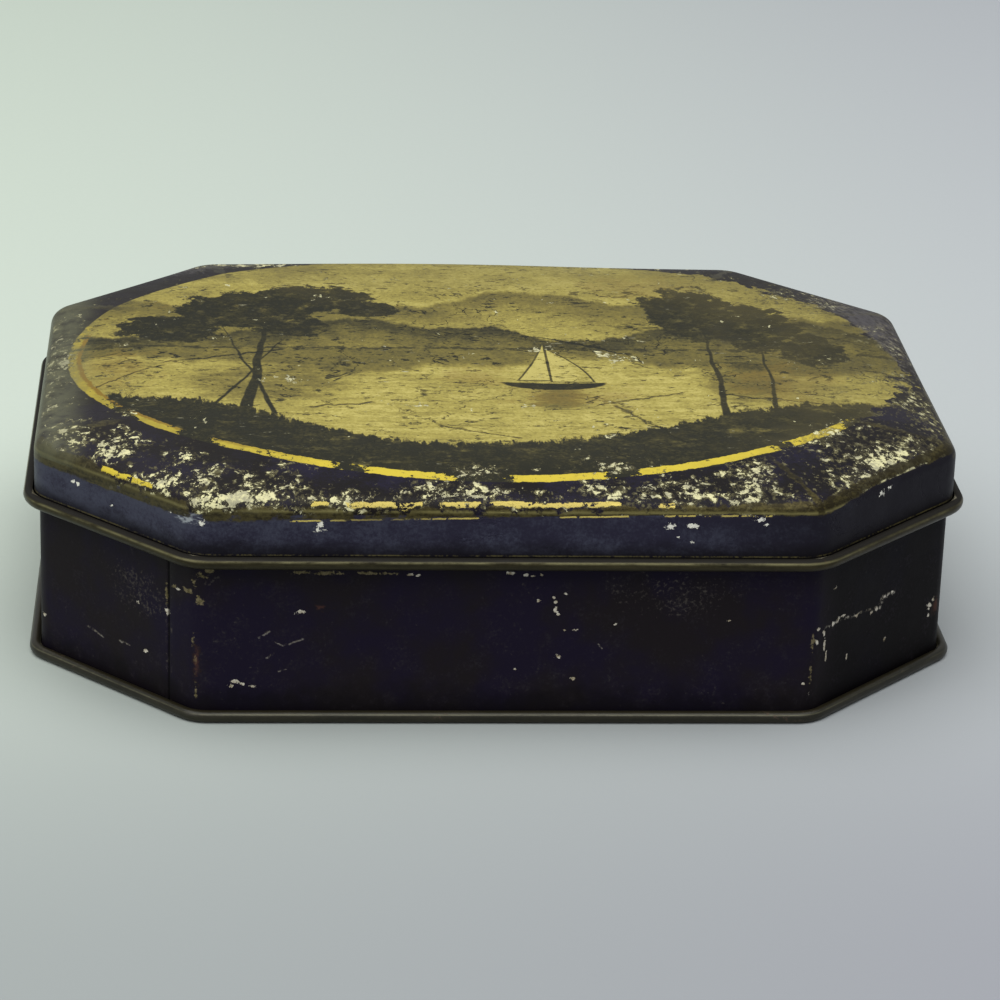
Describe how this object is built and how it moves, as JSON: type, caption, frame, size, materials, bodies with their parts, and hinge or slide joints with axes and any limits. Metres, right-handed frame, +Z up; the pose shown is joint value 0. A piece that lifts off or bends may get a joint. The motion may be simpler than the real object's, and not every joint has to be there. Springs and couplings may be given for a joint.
{
  "type": "tin box",
  "caption": "Flat eight-sided tinplate box with a slip-on domed lid, rolled edges on lid and base, and a worn printed finish.",
  "frame": {"origin": "middle of the underside, where the base curl stands on the table", "axes": "+X along the long side, -Y out of the front, +Z up through the lid"},
  "size_m": [0.2382, 0.1904, 0.0608],
  "materials": {
    "printed_tinplate": "worn semi-gloss print over tinplate",
    "lacquered_tinplate": "worn dark navy lacquer over tinplate",
    "base_tinplate": "dull aged tinplate"
  },
  "bodies": {
    "box": {"body_wall": "lacquered_tinplate", "base_panel": "base_tinplate"},
    "lid": {"lid": "printed_tinplate"}
  },
  "joints": [
    {"name": "lid_lift", "type": "slide", "parent": "box", "child": "lid", "axis": [0, 0, 1], "range_m": [0, 0.08]}
  ]
}
